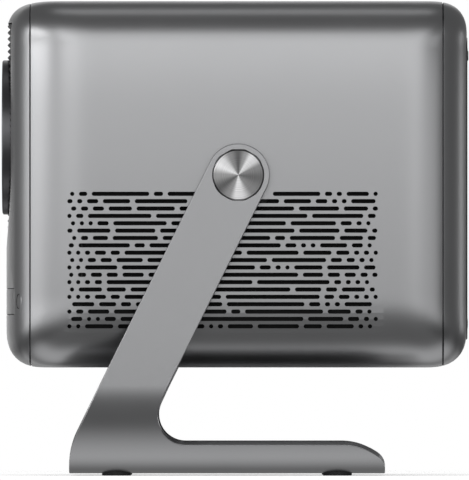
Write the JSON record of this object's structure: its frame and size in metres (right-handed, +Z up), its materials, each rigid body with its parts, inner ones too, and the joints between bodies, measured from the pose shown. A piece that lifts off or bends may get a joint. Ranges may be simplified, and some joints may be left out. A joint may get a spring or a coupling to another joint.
{
  "type": "video projector with built-in disc player",
  "caption": "Box-shaped video projector that tilts in a bent-plate U stand, with side vents, a ribbed front and a sliding disc tray in its lower front.",
  "frame": {"origin": "on the floor under the rubber feet, at the centre of the whole object's outline", "axes": "+Z up, the lens looks along -Y, +X is the projector's own left side, across the stand's two arms"},
  "size_m": [0.216, 0.2336, 0.2368],
  "materials": {
    "casing": "satin grey moulded casing",
    "stand_metal": "satin grey painted aluminium plate",
    "foot_rubber": "matt black rubber",
    "washer_plastic": "matt black acetal",
    "spun_metal": "spun aluminium",
    "steel": "bright steel",
    "black_panel": "black moulded plastic",
    "dark_window": "dark gloss window",
    "socket_metal": "plated steel shell",
    "socket_plastic": "black plastic",
    "board_green": "green circuit board",
    "motor_metal": "zinc-plated steel",
    "gear_white": "white acetal",
    "belt_rubber": "black rubber",
    "optic_glass": "coated optical glass",
    "engine_black": "black moulded optical housing",
    "lamp_copper": "copper-based lamp plate",
    "fin_aluminium": "bare aluminium",
    "filter_mesh": "black nylon mesh",
    "cone_paper": "black paper cone",
    "magnet_ferrite": "grey ferrite"
  },
  "bodies": {
    "stand": {"stand_bracket": "stand_metal", "stand_feet": "foot_rubber", "friction_washers": "washer_plastic"},
    "projector": {"tilt_hubs": "steel", "pivot_caps": "spun_metal", "hub_screws": "steel", "sleeve_housing": "casing", "front_bezel": "casing", "ribbed_front_panel": "black_panel", "lens_ring": "black_panel", "rear_cover": "casing", "rear_panel": "black_panel", "hdmi_socket": "socket_metal", "usb_socket": "socket_metal", "network_socket": "socket_metal", "audio_socket": "socket_plastic", "power_inlet": "socket_plastic", "power_switch": "board_green", "eject_switch": "board_green", "receiver_window": "dark_window", "inner_frame": "steel", "deck_plate": "steel", "loader_chassis": "socket_plastic", "loader_screws": "steel", "clamp_bridge": "socket_plastic", "loading_motor": "motor_metal", "drive_belt": "belt_rubber", "light_engine": "engine_black", "lens_barrel": "engine_black", "light_source": "lamp_copper", "heatsink": "fin_aluminium", "dust_filters": "filter_mesh", "fan_frames": "socket_plastic", "speaker_frames": "steel", "speaker_cones": "cone_paper", "speaker_magnets": "magnet_ferrite", "main_board": "board_green", "power_supply": "board_green", "lamp_driver": "board_green", "board_screws": "steel"},
    "tray": {"disc_tray": "socket_plastic", "tray_door": "casing"},
    "drive_gear": {"drive_gear": "gear_white"},
    "motor_pulley": {"motor_pulley": "gear_white"},
    "clamper": {"disc_clamper": "socket_plastic"},
    "traverse": {"traverse_frame": "steel", "guide_rods": "steel", "spindle_motor": "motor_metal", "sled_motor": "motor_metal"},
    "turntable": {"turntable": "gear_white"},
    "sled": {"laser_sled": "gear_white", "pickup_lens": "optic_glass"},
    "lead_screw": {"lead_screw": "steel"},
    "focus": {"focus_barrel": "engine_black", "front_lens": "optic_glass", "middle_lens": "optic_glass"},
    "left_fan": {"left_fan": "socket_plastic"},
    "right_fan": {"right_fan": "socket_plastic"},
    "power_button": {"power_button": "black_panel"},
    "eject_button": {"eject_button": "casing"}
  },
  "joints": [
    {"name": "tilt", "type": "hinge", "parent": "stand", "child": "projector", "pos_m": [0, 0.0017, 0.1498], "axis": [-1, 0, 0], "range_deg": [-15, 90]},
    {"name": "tray_slide", "type": "slide", "parent": "projector", "child": "tray", "axis": [0, -1, 0], "range_m": [0, 0.13]},
    {"name": "drive_gear_spin", "type": "hinge", "parent": "projector", "child": "drive_gear", "pos_m": [-0.046, -0.082, 0.081], "axis": [0, 0, 1], "range_deg": [0, 932]},
    {"name": "motor_pulley_spin", "type": "hinge", "parent": "projector", "child": "motor_pulley", "pos_m": [0.004, -0.084, 0.074], "axis": [0, 0, 1], "range_deg": [0, 3700]},
    {"name": "clamper_spin", "type": "hinge", "parent": "projector", "child": "clamper", "pos_m": [0, -0.035, 0.098], "axis": [0, 0, 1], "continuous": true},
    {"name": "traverse_lift", "type": "hinge", "parent": "projector", "child": "traverse", "pos_m": [0, 0.048, 0.0712], "axis": [1, 0, 0], "range_deg": [0, 3.5]},
    {"name": "turntable_spin", "type": "hinge", "parent": "traverse", "child": "turntable", "pos_m": [0, -0.035, 0.08], "axis": [0, 0, 1], "continuous": true},
    {"name": "sled_slide", "type": "slide", "parent": "traverse", "child": "sled", "axis": [0, 1, 0], "range_m": [0, 0.034]},
    {"name": "lead_screw_spin", "type": "hinge", "parent": "traverse", "child": "lead_screw", "pos_m": [0.0285, 0, 0.0771], "axis": [0, 1, 0], "range_deg": [0, 4085]},
    {"name": "focus_slide", "type": "slide", "parent": "projector", "child": "focus", "axis": [0, -1, 0], "range_m": [-0.002, 0.002]},
    {"name": "left_fan_spin", "type": "hinge", "parent": "projector", "child": "left_fan", "pos_m": [0.092, 0.057, 0.109], "axis": [1, 0, 0], "continuous": true},
    {"name": "right_fan_spin", "type": "hinge", "parent": "projector", "child": "right_fan", "pos_m": [-0.092, 0.057, 0.109], "axis": [1, 0, 0], "continuous": true},
    {"name": "power_press", "type": "slide", "parent": "projector", "child": "power_button", "axis": [0, -1, 0], "range_m": [0, 0.0005], "stiffness_N_per_m": 600},
    {"name": "eject_press", "type": "slide", "parent": "projector", "child": "eject_button", "axis": [0, 1, 0], "range_m": [0, 0.001], "stiffness_N_per_m": 400}
  ],
  "couplings": [
    {"joint": "drive_gear_spin", "follows": "tray_slide", "rad_per_m": 125},
    {"joint": "motor_pulley_spin", "follows": "tray_slide", "rad_per_m": 494.7},
    {"joint": "lead_screw_spin", "follows": "sled_slide", "rad_per_m": 2094.4}
  ]
}
